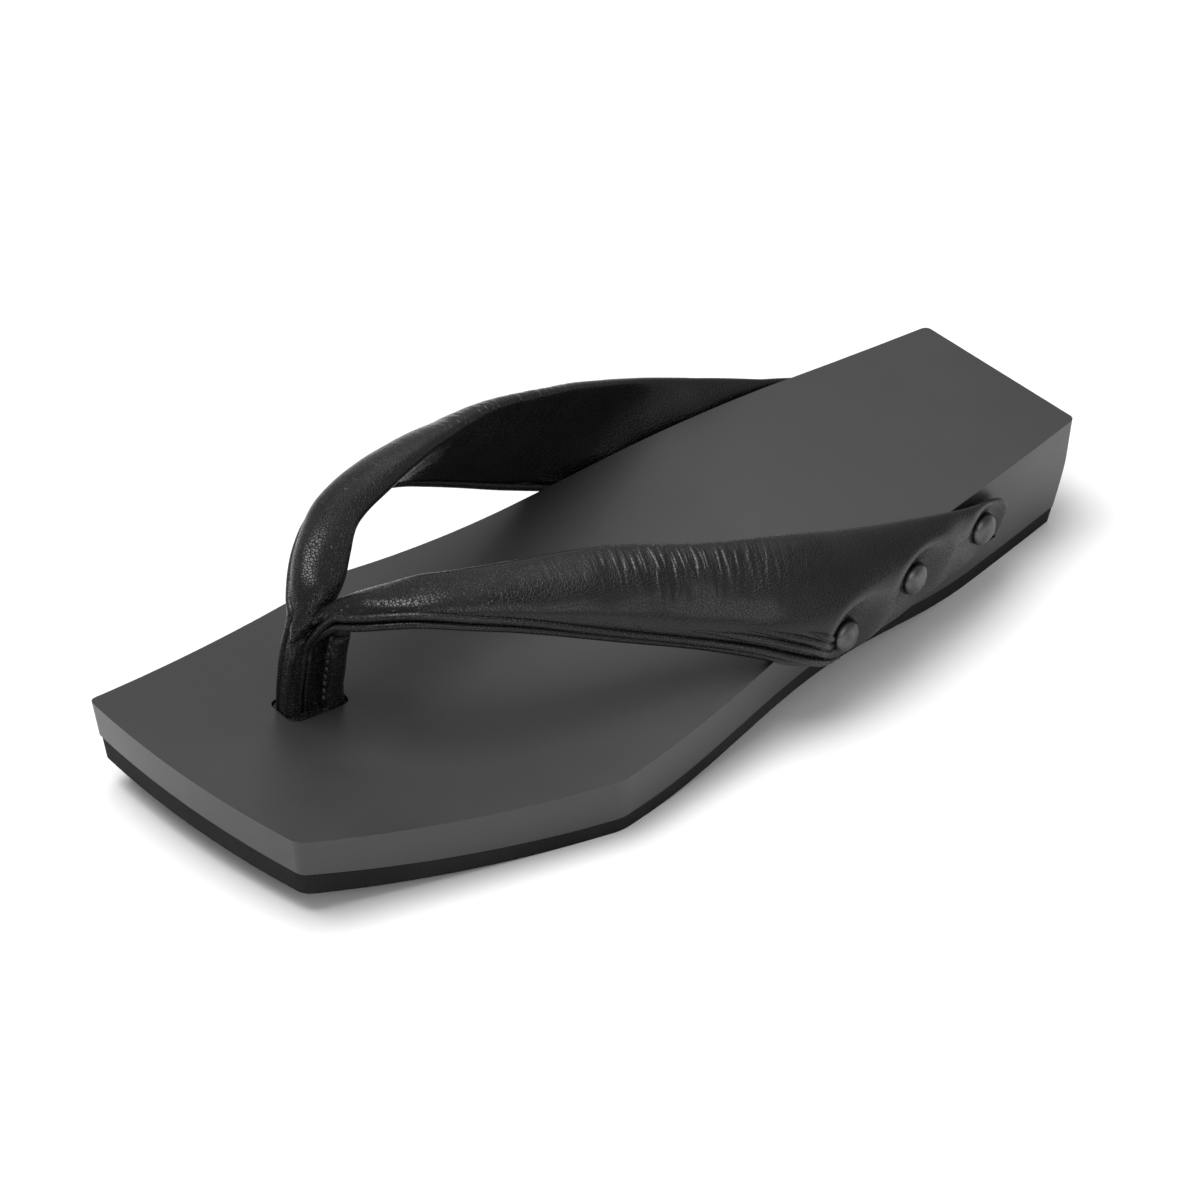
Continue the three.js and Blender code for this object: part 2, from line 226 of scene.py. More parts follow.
@dataclass(frozen=True)
class Finish:
    """What every finish has: its name, two colours that it varies between, and its roughness."""

    name: str
    colour: Triple
    worn: Triple
    roughness: Pair

    def start(self) -> tuple[bpy.types.Material, Bench, bpy.types.Node, bpy.types.NodeSocket]:
        """Makes an empty material.

        Returns:
            The material, its bench, its Principled node and its object coordinates.
        """
        material = bpy.data.materials.new(self.name)
        material.use_nodes = True
        bench = Bench(material.node_tree)
        shader = material.node_tree.nodes["Principled BSDF"]
        place = bench.add("TexCoord").outputs["Object"]
        return material, bench, shader, place

    def raise_surface(self, bench: Bench, shader: bpy.types.Node, height: bpy.types.NodeSocket,
                      depth_mm: float) -> None:
        """Joins a bump of the given depth to the shader's normal."""
        bump = bench.add("Bump")
        bench.feed(bump, Height=height, Strength=1.0, Distance=depth_mm * MM)
        bench.feed(shader, Normal=bump.outputs["Normal"])


@dataclass(frozen=True)
class SatinPaint(Finish):
    """Thin satin paint that lets a little of the wood's long grain show."""

    grain_depth_mm: float = 0.012
    sheen: float = 0.55

    def material(self) -> bpy.types.Material:
        """Returns the paint with long grain, mottling and small specks."""
        material, bench, shader, place = self.start()
        stretch = bench.add("Mapping")
        bench.feed(stretch, Vector=place, Scale=(1.0, 0.06, 1.0))
        grain = bench.noise(stretch.outputs[0], 620.0, 5.0, 0.6)
        marks = Handling().place(bench, place, Broad=16.0, Fine=1900.0)
        mottle, speck = marks.outputs["Mottle"], marks.outputs["Speck"]
        tone = bench.math("MULTIPLY_ADD", grain, 0.5)
        bench.tree.links.new(bench.math("MULTIPLY", mottle, 0.5), tone.node.inputs[2])
        bench.feed(shader, Base_Color=bench.mix(tone, self.colour, self.worn))
        wear = bench.math("ADD", mottle, bench.math("MULTIPLY", speck, 0.6))
        bench.feed(shader, Roughness=bench.remap(wear, 0.0, 1.6, *self.roughness))
        height = bench.math("ADD", grain, bench.math("MULTIPLY", speck, 0.5))
        self.raise_surface(bench, shader, height, self.grain_depth_mm)
        shader.inputs["Specular IOR Level"].default_value = self.sheen
        return material


@dataclass(frozen=True)
class MattRubber(Finish):
    """Matt rubber with a fine stipple and a dusty bloom."""

    stipple_depth_mm: float = 0.05
    sheen: float = 0.2

    def material(self) -> bpy.types.Material:
        """Returns the rubber with its stipple."""
        material, bench, shader, place = self.start()
        marks = Handling().place(bench, place, Broad=35.0, Fine=1300.0)
        bench.feed(shader, Base_Color=bench.mix(marks.outputs["Mottle"], self.colour, self.worn))
        bench.feed(shader, Roughness=bench.remap(marks.outputs["Speck"], 0.0, 1.0, *self.roughness))
        stipple = bench.noise(place, 2200.0, 2.0)
        height = bench.math("ADD", stipple, marks.outputs["Speck"])
        self.raise_surface(bench, shader, height, self.stipple_depth_mm)
        shader.inputs["Specular IOR Level"].default_value = self.sheen
        return material


@dataclass(frozen=True)
class Leather(Finish):
    """Pebbled black leather with soft wrinkles that run across the strap."""

    pebble_mm: float = 0.8
    depth_mm: float = 0.2
    wrinkle: float = 1.2
    sheen: float = 0.38

    def material(self) -> bpy.types.Material:
        """Returns the leather with pebbles, creases darkened by painted shade, and wrinkles."""
        material, bench, shader, place = self.start()
        grain = PebbleGrain().place(bench, place, Scale=1000.0 / self.pebble_mm)
        marks = Handling().place(bench, place, Broad=60.0, Fine=900.0)
        crease = grain.outputs["Crease Mask"]
        colour = bench.mix(marks.outputs["Mottle"], self.colour, self.worn)
        # The grain's creases are darkened in colour: painted shade where less light falls.
        painted_crease_shade = tuple(0.45 * value for value in self.colour)
        bench.feed(shader, Base_Color=bench.mix(bench.math("MULTIPLY", crease, 0.6), colour, painted_crease_shade))
        rough = bench.math("ADD", crease, bench.math("MULTIPLY", marks.outputs["Mottle"], 0.35))
        bench.feed(shader, Roughness=bench.remap(rough, 0.0, 1.35, *self.roughness))
        share = bench.add("Attribute", attribute_name="strap_grain").outputs["Fac"]
        pebbles = bench.math("MULTIPLY", grain.outputs["Height"], share if self.wrinkle else 1.0)
        height = bench.math("ADD", pebbles, self.wrinkles(bench)) if self.wrinkle else pebbles
        self.raise_surface(bench, shader, height, self.depth_mm)
        shader.inputs["Specular IOR Level"].default_value = self.sheen
        return material

    def wrinkles(self, bench: Bench) -> bpy.types.NodeSocket:
        """Returns the height of wrinkles, from the strap's own lengthwise and crosswise measure."""
        measure = bench.add("Attribute", attribute_name="strap_measure")
        stretch = bench.add("Mapping")
        bench.feed(stretch, Vector=measure.outputs["Vector"], Scale=(1.0, 0.16, 0.0))
        folds = bench.noise(stretch.outputs[0], 620.0, 1.5, 0.4)
        ridge = bench.remap(folds, 0.42, 0.62, 0.0, self.wrinkle)
        part = bench.add("SeparateXYZ")
        bench.feed(part, Vector=measure.outputs["Vector"])
        return bench.math("MULTIPLY", ridge, part.outputs["Z"])


@dataclass(frozen=True)
class DarkMetal(Finish):
    """Gunmetal with fine rubbing."""

    scratch_depth_mm: float = 0.015

    def material(self) -> bpy.types.Material:
        """Returns the metal with its rubbed places."""
        material, bench, shader, place = self.start()
        marks = Handling().place(bench, place, Broad=260.0, Fine=2600.0)
        bench.feed(shader, Base_Color=bench.mix(marks.outputs["Mottle"], self.colour, self.worn))
        bench.feed(shader, Roughness=bench.remap(marks.outputs["Speck"], 0.0, 1.0, *self.roughness))
        self.raise_surface(bench, shader, marks.outputs["Speck"], self.scratch_depth_mm)
        shader.inputs["Metallic"].default_value = 1.0
        return material


def grey(tone: float) -> Triple:
    """Returns a nearly neutral grey that is a little blue."""
    return (tone, tone, 1.02 * tone)


PAINT = SatinPaint("satin_paint", grey(0.02), grey(0.028), (0.34, 0.44))
# The rim finish is painted shade: darker, less glossy paint on the top rim's rounding that stands in for the
# dark reflection along the top edge.
RIM_PAINTED_SHADE = SatinPaint("rim_painted_shade", grey(0.002), grey(0.004), (0.3, 0.4), sheen=0.12)
RUBBER = MattRubber("matt_rubber", grey(0.006), grey(0.011), (0.8, 0.95))
LEATHER = Leather("padded_leather", grey(0.003), grey(0.0055), (0.23, 0.46))
PIPING_LEATHER = Leather("piping_leather", grey(0.004), grey(0.007), (0.25, 0.4), 0.7, 0.05, wrinkle=0.0)
THREAD = Leather("waxed_thread", grey(0.03), grey(0.05), (0.3, 0.45), 0.4, 0.03, wrinkle=0.0)
GUNMETAL = DarkMetal("gunmetal", grey(0.07), grey(0.11), (0.3, 0.42))


# ---------------------------------------------------------------- mesh helpers


def finish_piece(piece: bpy.types.Object, material: bpy.types.Material) -> bpy.types.Object:
    """Gives a piece its material and its body, and reports it.

    Args:
        piece: a mesh object whose place is in its mesh.
        material: the finish it shows.

    Returns:
        The same piece.
    """
    piece.data.materials.append(material)
    piece.data.polygons.foreach_set("use_smooth", [True] * len(piece.data.polygons))
    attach(piece, "root")
    LOG.info("%s: %d faces", piece.name, len(piece.data.polygons))
    return piece


def object_from(name: str, mesh: bmesh.types.BMesh) -> bpy.types.Object:
    """Makes a scene object from a bmesh and frees it."""
    data = bpy.data.meshes.new(name)
    mesh.to_mesh(data)
    mesh.free()
    piece = bpy.data.objects.new(name, data)
    bpy.context.scene.collection.objects.link(piece)
    return piece


class Skin:
    """A closed skin drawn through rings of equal length, from one end to the other."""

    def __init__(self, mesh: bmesh.types.BMesh) -> None:
        """Keeps the mesh that the skin is added to."""
        self.mesh = mesh
        self.rings: list[list[bmesh.types.BMVert]] = []

    def draw(self, rings: list[list[Vector]]) -> list[list[bmesh.types.BMVert]]:
        """Draws the skin.

        Args:
            rings: the places of each ring's points, in metres.

        Returns:
            The skin's vertices, ring by ring.
        """
        first = bmesh.ops.create_circle(self.mesh, segments=len(rings[0]), radius=MM)["verts"]
        self.rings = [self.put(first, rings[0])]
        for places in rings[1:]:
            self.rings.append(self.put(self.extend(self.rings[-1]), places))
        for ring in (self.rings[0], self.rings[-1]):
            edges = self.edges_of(ring)
            cap = bmesh.ops.edgeloop_fill(self.mesh, edges=edges)["faces"]
            bmesh.ops.poke(self.mesh, faces=cap)
        return self.rings

    @staticmethod
    def put(verts: list[bmesh.types.BMVert], places: list[Vector]) -> list[bmesh.types.BMVert]:
        """Moves vertices to their places and returns them."""
        for vert, place in zip(verts, places):
            vert.co = place
        return verts

    def edges_of(self, ring: list[bmesh.types.BMVert]) -> list[bmesh.types.BMEdge]:
        """Returns the edges that join a ring's neighbouring vertices."""
        return [self.mesh.edges.get((a, b)) for a, b in zip(ring, ring[1:] + ring[:1])]

    def extend(self, ring: list[bmesh.types.BMVert]) -> list[bmesh.types.BMVert]:
        """Extrudes a ring once and returns the new ring in the same order."""
        made = bmesh.ops.extrude_edge_only(self.mesh, edges=self.edges_of(ring))["geom"]
        fresh = {item for item in made if isinstance(item, bmesh.types.BMVert)}
        return [next(e.other_vert(v) for e in v.link_edges if e.other_vert(v) in fresh) for v in ring]


def smooth_line(points: list[Vector], t: float) -> Vector:
    """Returns the point at t, from 0 to 1, of the centripetal Catmull-Rom line through points."""
    place = min(max(t, 0.0), 1.0) * (len(points) - 1)
    index = min(int(place), len(points) - 2)
    weight = place - index
    p1, p2 = points[index], points[index + 1]
    p0 = points[index - 1] if index else 2 * p1 - p2
    p3 = points[index + 2] if index + 2 < len(points) else 2 * p2 - p1
    d0, d1, d2 = (max((b - a).length, 1e-9) ** 0.5 for a, b in ((p0, p1), (p1, p2), (p2, p3)))
    leave = ((p1 - p0) / d0 - (p2 - p0) / (d0 + d1) + (p2 - p1) / d1) * d1
    arrive = ((p2 - p1) / d1 - (p3 - p1) / (d1 + d2) + (p3 - p2) / d2) * d1
    cubic = 2 * p1 - 2 * p2 + leave + arrive
    square = -3 * p1 + 3 * p2 - 2 * leave - arrive
    return p1 + weight * (leave + weight * (square + weight * cubic))


def arc_point(front: Vector, crown: Vector, rear: Vector, u: float) -> Vector:
    """Returns the point at u on the parabola from front through crown at the half to rear."""
    return (1 - u) * (1 - 2 * u) * front + 4 * u * (1 - u) * crown + u * (2 * u - 1) * rear


def smooth_step(low: float, high: float, value: float) -> float:
    """Returns 0 below low, 1 above high and a soft ramp between."""
    t = min(max((value - low) / (high - low), 0.0), 1.0)
    return t * t * (3 - 2 * t)


def bell(value: float, centre: float, width: float) -> float:
    """Returns 1 at centre, falling softly to 0 with the given width."""
    return math.exp(-(((value - centre) / width) ** 2))


# ---------------------------------------------------------------- the sole


@dataclass
class SoleShape:
    """The sole's sizes that other pieces lie against, in millimetres."""

    ball_y: float = -47.5
    ball_z: float = 16.3
    toe_radius: float = 360.0
    slope: float = 0.19
    rise: float = 50.0
    straight: float = 20.0
    crest: float = 60.0
    taper: float = 0.08
    lateral: tuple[float, ...] = (55.0, -41.5, 28.1, 127.5, 2.0)
    medial: tuple[float, ...] = (-28.9, 127.5, -55.0, -47.2, -3.0)

    def top(self, y: float) -> float:
        """Returns the height of the platform's top at y."""
        start = self.ball_y + self.rise
        end = start + self.straight
        heel = self.ball_z + self.slope * (self.rise / 2 + self.straight + self.crest / 2)
        if y <= self.ball_y:
            return self.ball_z + (y - self.ball_y) ** 2 / (2 * self.toe_radius)
        if y <= start:
            return self.ball_z + self.slope * (y - self.ball_y) ** 2 / (2 * self.rise)
        if y <= end:
            return self.ball_z + self.slope * (self.rise / 2 + y - start)
        left = max(0.0, end + self.crest - y)
        return heel - self.slope * left**2 / (2 * self.crest)

    def on_side(self, side: Side, y: float, z: float, off: float = 0.0) -> tuple[Vector, Vector]:
        """Finds a place on the platform's side.

        Args:
            side: which side.
            y: how far along.
            z: how high.
            off: how far outside the wood.

        Returns:
            The place and the side's outward direction, both in millimetres.
        """
        ax, ay, bx, by, bow = self.lateral if side is Side.LATERAL else self.medial
        t = (y - ay) / (by - ay)
        chord = Vector((bx - ax, by - ay))
        normal = Vector((chord.y, -chord.x)).normalized()
        tangent = chord + normal * (4 * bow * (1 - 2 * t))
        outward = Vector((tangent.y, -tangent.x)).normalized()
        flat = Vector((ax, ay)) + chord * t + normal * (4 * bow * t * (1 - t))
        flat += outward * (off - self.taper * (self.top(y) - z))
        return Vector((flat.x, flat.y, z)), Vector((outward.x, outward.y, 0.0))

    def clear(self, side: Side, place: Vector, gap: float) -> Vector:
        """Returns a point, moved up or outwards by the shorter way where it is within gap of the wood."""
        surface, outward = self.on_side(side, place.y, place.z)
        out = gap - (place - surface).dot(outward)
        up = self.top(place.y) + gap - place.z
        if out <= 0 or up <= 0:
            return place
        return place + (outward * out if out < up else Vector((0, 0, up)))


@dataclass
class HardPiece:
    """A piece of the sole: the CAD node's own shape with its edges softened and perhaps a darker top rim,
    painted shade that stands in for the dark reflection along the top edge.
    """

    node: str
    piece: str
    edge_mm: float
    slot: Slot
    finish: Finish
    painted_rim_shade: Finish | None = None
    weld_mm: float = 0.004
    flat_degrees: float = 0.35
    sharp_degrees: float = 32.0
    rim_slope: Pair = (0.25, 0.97)

    def clean_mesh(self) -> bmesh.types.BMesh:
        """Returns the CAD node's mesh with its doubled vertices welded and its flat faces joined."""
        mesh = bmesh.new()
        mesh.from_mesh(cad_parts[self.node].data)
        bmesh.ops.remove_doubles(mesh, verts=mesh.verts, dist=self.weld_mm * MM)
        flat = math.radians(self.flat_degrees)
        bmesh.ops.dissolve_limit(mesh, angle_limit=flat, verts=mesh.verts, edges=mesh.edges)
        return mesh

    def build(self) -> bpy.types.Object:
        """Returns the piece with softened edges."""
        mesh = self.clean_mesh()
        least = math.radians(self.sharp_degrees)
        sharp = [edge for edge in mesh.edges if edge.is_manifold and edge.calc_face_angle() > least]
        rounded = bmesh.ops.bevel(mesh, geom=sharp, affect="EDGES", offset=self.edge_mm * MM, segments=3,
                                  profile=0.5, material=0, clamp_overlap=True)["faces"]
        mesh.normal_update()
        # Rounded faces that slope between the side and the top take the rim finish, painted shade for the
        # dark reflection along the top edge.
        low, high = self.rim_slope
        for face in rounded:
            face.material_index = int(self.painted_rim_shade is not None and low < face.normal.z < high)
        bmesh.ops.triangulate(mesh, faces=[f for f in mesh.faces if len(f.verts) > 4])
        piece = finish_piece(object_from(self.piece, mesh), self.finish.material())
        if self.painted_rim_shade is not None:
            piece.data.materials.append(self.painted_rim_shade.material())
        modifier = piece.modifiers.new("even_shading", "WEIGHTED_NORMAL")
        modifier.keep_sharp = True
        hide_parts(self.node)
        return piece


# ---------------------------------------------------------------- the straps


@dataclass(frozen=True)
class Row:
    """One section of a strap: its thickness, and its front edge, crown and rear edge."""

    thick: float
    front: Triple
    crown: Triple
    rear: Triple


@dataclass(frozen=True)
class EndRow:
    """A section that lies on the platform's side: y and z of its three lines."""

    thick: float
    off: float
    front: Pair
    crown: Pair
    rear: Pair


LATERAL_ROWS = (
    Row(2.0, (-12.6, -85.2, 39.4), (-12.5, -84.2, 40.2), (-12.4, -83.2, 40.6)),
    Row(4.4, (-11.0, -82.9, 41.4), (-11.2, -80.4, 43.0), (-11.4, -77.2, 44.2)),
    Row(7.0, (-6.5, -81.2, 43.8), (-7.2, -76.6, 46.0), (-8.6, -71.2, 46.2)),
    Row(8.4, (2.5, -77.3, 47.3), (-0.5, -71.7, 48.8), (-4.8, -64.8, 48.8)),
    Row(8.6, (12.2, -68.0, 49.2), (7.4, -64.0, 50.4), (-0.2, -58.6, 52.0)),
    Row(8.8, (18.0, -57.6, 46.7), (12.8, -54.6, 49.4), (4.0, -50.6, 52.4)),
    Row(8.8, (23.0, -46.0, 43.2), (17.4, -43.0, 47.6), (7.8, -39.6, 51.8)),
    Row(8.5, (31.5, -24.0, 34.5), (26.4, -20.0, 43.2), (16.4, -16.0, 50.6)),
    Row(8.0, (39.5, -6.0, 28.0), (35.6, 0.0, 38.3), (26.4, 4.5, 47.4)),
    Row(7.5, (46.5, 5.0, 24.3), (43.6, 15.5, 35.0), (32.0, 23.5, 44.0)),
    Row(6.5, (50.0, 13.5, 20.0), (48.0, 32.0, 31.0), (37.4, 46.5, 38.8)),
    Row(5.5, (49.0, 21.0, 16.0), (46.8, 48.0, 25.6), (41.0, 75.0, 32.4)),
)
MEDIAL_ROWS = (
    Row(3.5, (-14.6, -88.0, 37.6), (-13.4, -86.4, 38.6), (-12.2, -84.8, 39.2)),
    Row(6.2, (-16.4, -87.0, 40.2), (-14.0, -82.8, 43.0), (-11.4, -77.4, 44.2)),
    Row(8.0, (-17.2, -85.6, 42.6), (-14.8, -78.8, 46.8), (-12.6, -72.8, 47.8)),
    Row(8.8, (-20.6, -83.4, 44.4), (-18.0, -77.8, 48.9), (-14.2, -70.2, 49.9)),
    Row(9.0, (-28.4, -76.4, 48.8), (-24.3, -71.5, 52.9), (-18.3, -65.6, 53.2)),
    Row(9.0, (-36.6, -65.6, 50.9), (-31.6, -62.1, 55.1), (-24.3, -59.0, 55.8)),
    Row(9.0, (-41.6, -53.4, 49.6), (-36.6, -50.5, 55.2), (-28.8, -48.2, 57.2)),
    Row(9.0, (-44.5, -39.0, 46.2), (-41.2, -35.4, 53.8), (-33.4, -33.4, 59.0)),
    Row(9.0, (-45.5, -21.0, 37.2), (-45.8, -14.5, 48.3), (-40.2, -10.5, 58.2)),
    Row(8.5, (-45.6, -5.0, 28.8), (-47.8, 4.0, 41.5), (-43.0, 10.0, 53.2)),
    Row(8.0, (-45.8, 5.0, 23.8), (-48.8, 18.0, 36.5), (-45.2, 28.0, 47.0)),
    Row(7.0, (-46.0, 13.5, 19.5), (-47.5, 34.0, 31.5), (-45.6, 49.0, 39.0)),
    Row(5.5, (-44.5, 21.0, 16.0), (-41.9, 50.0, 25.6), (-38.0, 76.0, 31.0)),
)
END_ROWS = (
    EndRow(4.4, 2.7, (26.0, 14.5), (59.0, 19.5), (94.6, 23.9)),
    EndRow(3.2, 2.0, (28.5, 12.0), (60.0, 13.0), (93.6, 14.5)),
)
NAIL_PLACES = {"front": (32.3, 18.0), "middle": (58.4, 20.4), "rear": (86.0, 20.0)}


@dataclass
class PaddedStrap:
    """One padded strap, from inside the thong's top to its nailed end."""

    side: Side
    rows: tuple[Row, ...]
    sole: SoleShape
    ring_points: int = 96
    steps_per_row: int = 24
    fullness: float = 0.86
    crowding: float = 0.6
    blunt: float = 0.55
    front_inset: float = 1.6
    unevenness: float = 0.4
    crease_depth: float = 0.45
    fold_depth: float = 0.9
    wood_gap: float = 0.35
    nail_reach: float = 16.0
    nail_seat: float = 2.7
    nail_hole: float = 4.5
    nail_slope: float = 0.55
    nail_leather: float = 1.7
    nail_blend: float = 1.6
    nail_swell: float = 0.5
    rear_grain: float = 0.12
    rubbed: float = 0.6
    wrinkled: Pair = (0.6, 0.08)

    def __post_init__(self) -> None:
        """Works out the guide lines, in millimetres."""
        ends = [
            [self.sole.on_side(self.side, *place, row.off)[0] for place in (row.front, row.crown, row.rear)]
            for row in END_ROWS
        ]
        given = [[Vector(row.front), Vector(row.crown), Vector(row.rear)] for row in self.rows]
        self.lines = [list(line) for line in zip(*(given + ends))]
        thickness = [row.thick for row in (*self.rows, *END_ROWS)]
        self.thickness = [Vector((i, value, 0)) for i, value in enumerate(thickness)]

    @property
    def last(self) -> int:
        """Returns the number of the last row."""
        return len(self.thickness) - 1

    def frame_at(self, t: float) -> tuple[Vector, Vector, Vector, Vector, Vector]:
        """Returns the front, crown and rear points at t, and the across and outer directions."""
        front, crown, rear = (smooth_line(line, t) for line in self.lines)
        step = 0.01
        along = smooth_line(self.lines[1], t + step) - smooth_line(self.lines[1], t - step)
        across = (rear - front).normalized()
        outer = (rear - front).cross(along).normalized() * (-self.side.value)
        return front, crown, rear, across, outer

    def angles(self) -> list[float]:
        """Returns the ring's angles, crowded towards the front edge at angle 0."""
        even = [2 * math.pi * i / self.ring_points for i in range(self.ring_points)]
        return [angle - self.crowding * math.sin(angle) for angle in even]

    def section(self, t: float) -> list[Vector]:
        """Returns the ring at t in metres."""
        front, crown, rear, across, outer = self.frame_at(t)
        half = smooth_line(self.thickness, t).y / 2
        width = (rear - front).length
        front = front + across * self.front_inset * (1 - smooth_step(0.8, 0.97, t))
        ring = []
        for angle in self.angles():
            u = 0.5 - 0.5 * math.cos(angle)
            middle = arc_point(front, crown, rear, u)
            tail = smooth_step(0.86, 0.97, t) * smooth_step(0.5, 0.9, u)
            power = self.fullness * (1 - self.blunt * tail)
            rise = math.copysign(abs(math.sin(angle)) ** power, math.sin(angle))
            place = middle + outer * (rise * half)
            if rise > 0:
                place += outer * smooth_step(0.0, 0.35, rise) * self.creases(t, u, width)
            place += outer * self.unevenness * noise.noise(middle * 0.09)
            ring.append(self.sole.clear(self.side, self.seat_nails(place, rise), self.wood_gap) * MM)
        return ring

    def surface_point(self, t: float, from_edge: float, sink: float) -> Vector:
        """Returns the point under the outer face at t, a distance from the front edge."""
        front, crown, rear, _, outer = self.frame_at(t)
        half = smooth_line(self.thickness, t).y / 2
        u = from_edge / (rear - front).length
        rise = (2 * math.sqrt(u * (1 - u))) ** self.fullness
        place = self.seat_nails(arc_point(front, crown, rear, u) + outer * rise * half, 1.0)
        return place - outer * sink

    def creases(self, t: float, u: float, width: float) -> float:
        """Returns the depth of the creases across the middle and of the folded rear end."""
        zone = bell(t, *self.wrinkled) * smooth_step(0.3, 0.6, u)
        lines = noise.noise(Vector((t * 150.0, u * 1.6, 3.0 * self.side.value)))
        fold = bell((1 - u) * width, 2.6, 0.6) * smooth_step(0.86, 0.92, t)
        return -self.crease_depth * zone * max(0.0, lines) - self.fold_depth * fold

    def seat_nails(self, place: Vector, rise: float) -> Vector:
        """Pulls the leather down to each nail's seat and lets it swell between the nails."""
        for y, z in NAIL_PLACES.values():
            centre, outward = self.sole.on_side(self.side, y, z)
            away = place - centre
            off = away.dot(outward)
            radius = (away - outward * off).length
            if radius > self.nail_reach:
                continue
            swell = self.nail_swell * bell(radius, 10.0, 3.2) * smooth_step(-0.1, 0.6, rise)
            limit = self.nail_seat + max(0.0, radius - self.nail_hole) * self.nail_slope
            limit -= self.nail_leather * (1 - smooth_step(-0.6, 0.2, rise))
            blend = max(0.0, 1 - abs(off + swell - limit) / self.nail_blend)
            off_new = min(off + swell, limit) - self.nail_blend * blend * blend / 4
            place = place + outward * (off_new - off)
        return place

    def draw(self, mesh: bmesh.types.BMesh) -> None:
        """Adds the strap to a mesh, with its lengthwise and crosswise measure."""
        count = self.last * self.steps_per_row
        rings = Skin(mesh).draw([self.section(i / count) for i in range(count + 1)])
        layer = mesh.verts.layers.float_vector["strap_measure"]
        grain = mesh.verts.layers.float["strap_grain"]
        length = 0.0
        for i, ring in enumerate(rings):
            if i:
                length += (ring[self.ring_points // 4].co - rings[i - 1][self.ring_points // 4].co).length
            t, width = i / count, (ring[0].co - ring[self.ring_points // 2].co).length
            for angle, vert in zip(self.angles(), ring):
                u = 0.5 - 0.5 * math.cos(angle)
                zone = bell(t, *self.wrinkled) * smooth_step(0.4, 0.75, u)
                vert[layer] = (length, u * width, zone)
                front_part = (1 - smooth_step(0.3, 0.5, t)) * (1 - self.rubbed * smooth_step(0.7, 0.95, u))
                vert[grain] = self.rear_grain + (1 - self.rear_grain) * front_part


@dataclass(frozen=True)
class Post:
    """An upright part of the thong: its offset along the shoe, half width and length, and its rings' lean."""

    offset: float
    half_width: float
    half_length: float
    top: float
    rounding: float = 0.75
    lean: float = 0.0


@dataclass
class ToeThong:
    """The thong: a flat front flange, a thin web and a round rear column, sewn together."""

    x: float = -14.5
    ring_points: int = 40
    low: float = 10.0
    steps: int = 48
    corrections: int = 6
    spine: tuple[Pair, ...] = (
        (10.0, -82.8), (20.0, -82.8), (31.0, -80.8), (40.0, -78.6), (47.0, -78.0),
    )
    flange: Post = Post(-5.4, 2.9, 2.6, 41.0)
    web: Post = Post(-1.0, 2.0, 4.0, 43.0)
    column: Post = Post(4.5, 5.1, 3.7, 38.0)
    welt: Post = Post(0.0, 5.45, 8.55, 18.1, 0.4, -0.099)
    knot: tuple[Triple, Triple] = ((-13.6, -78.4, 43.4), (4.2, 5.2, 3.2))

    def middle(self, z: float) -> float:
        """Returns how far along the shoe the thong's middle is at height z, found by corrections."""
        low, high = self.spine[0][0], self.spine[-1][0]
        points = [Vector((0, y, height)) for height, y in self.spine]
        t = (min(max(z, low), high) - low) / (high - low)
        for _ in range(self.corrections):
            t += (z - smooth_line(points, t).z) / (high - low) * 0.8
            t = min(max(t, 0.0), 1.0)
        return smooth_line(points, t).y

    def section(self, post: Post, share: float) -> list[Vector]:
        """Returns a post's ring at a share of its height, in metres."""
        z = self.low + (post.top - self.low) * share
        close = math.sqrt(max(0.0, 1 - smooth_step(0.9, 1.01, share) ** 2))
        y = self.middle(z) + post.offset
        ring = []
        for i in range(self.ring_points):
            angle = 2 * math.pi * i / self.ring_points
            c, s = math.cos(angle), math.sin(angle)
            wide = math.copysign(abs(c) ** post.rounding, c) * post.half_width * close
            along = math.copysign(abs(s) ** post.rounding, s) * post.half_length * close
            place = Vector((self.x + wide, y + along, z + along * post.lean))
            place += Vector((c, s, 0)) * (0.25 * noise.noise(place * 0.2))
            ring.append(place * MM)
        return ring

    def draw(self, mesh: bmesh.types.BMesh) -> None:
        """Adds the thong's posts to a mesh."""
        grain = mesh.verts.layers.float["strap_grain"]
        for post in (self.flange, self.web, self.column, self.welt):
            for ring in Skin(mesh).draw([self.section(post, i / self.steps) for i in range(self.steps + 1)]):
                for vert in ring:
                    vert[grain] = 0.6
        place, size = self.knot
        shape = Matrix.Translation(Vector(place) * MM) @ Matrix.Diagonal((*(v * MM for v in size), 1.0))
        bmesh.ops.create_icosphere(mesh, subdivisions=4, radius=1.0, matrix=shape)


@dataclass(frozen=True)
class BeadCourse:
    """One bead's way: in and up from the strap's edge, across and along the thong, and where the two join."""

    side: Side
    inset: float
    rise: float
    across: float
    along: float
    top: float
    start: float


BEAD_COURSES = (
    BeadCourse(Side.LATERAL, inset=1.7, rise=1.9, across=2.5, along=-4.6, top=36.5, start=0.17),
    BeadCourse(Side.LATERAL, inset=1.0, rise=-0.3, across=2.5, along=-3.0, top=36.5, start=0.17),
    BeadCourse(Side.MEDIAL, inset=1.7, rise=1.5, across=-2.2, along=-7.5, top=36.0, start=0.15),
    BeadCourse(Side.MEDIAL, inset=1.0, rise=-1.2, across=1.6, along=-7.5, top=36.0, start=0.15),
)


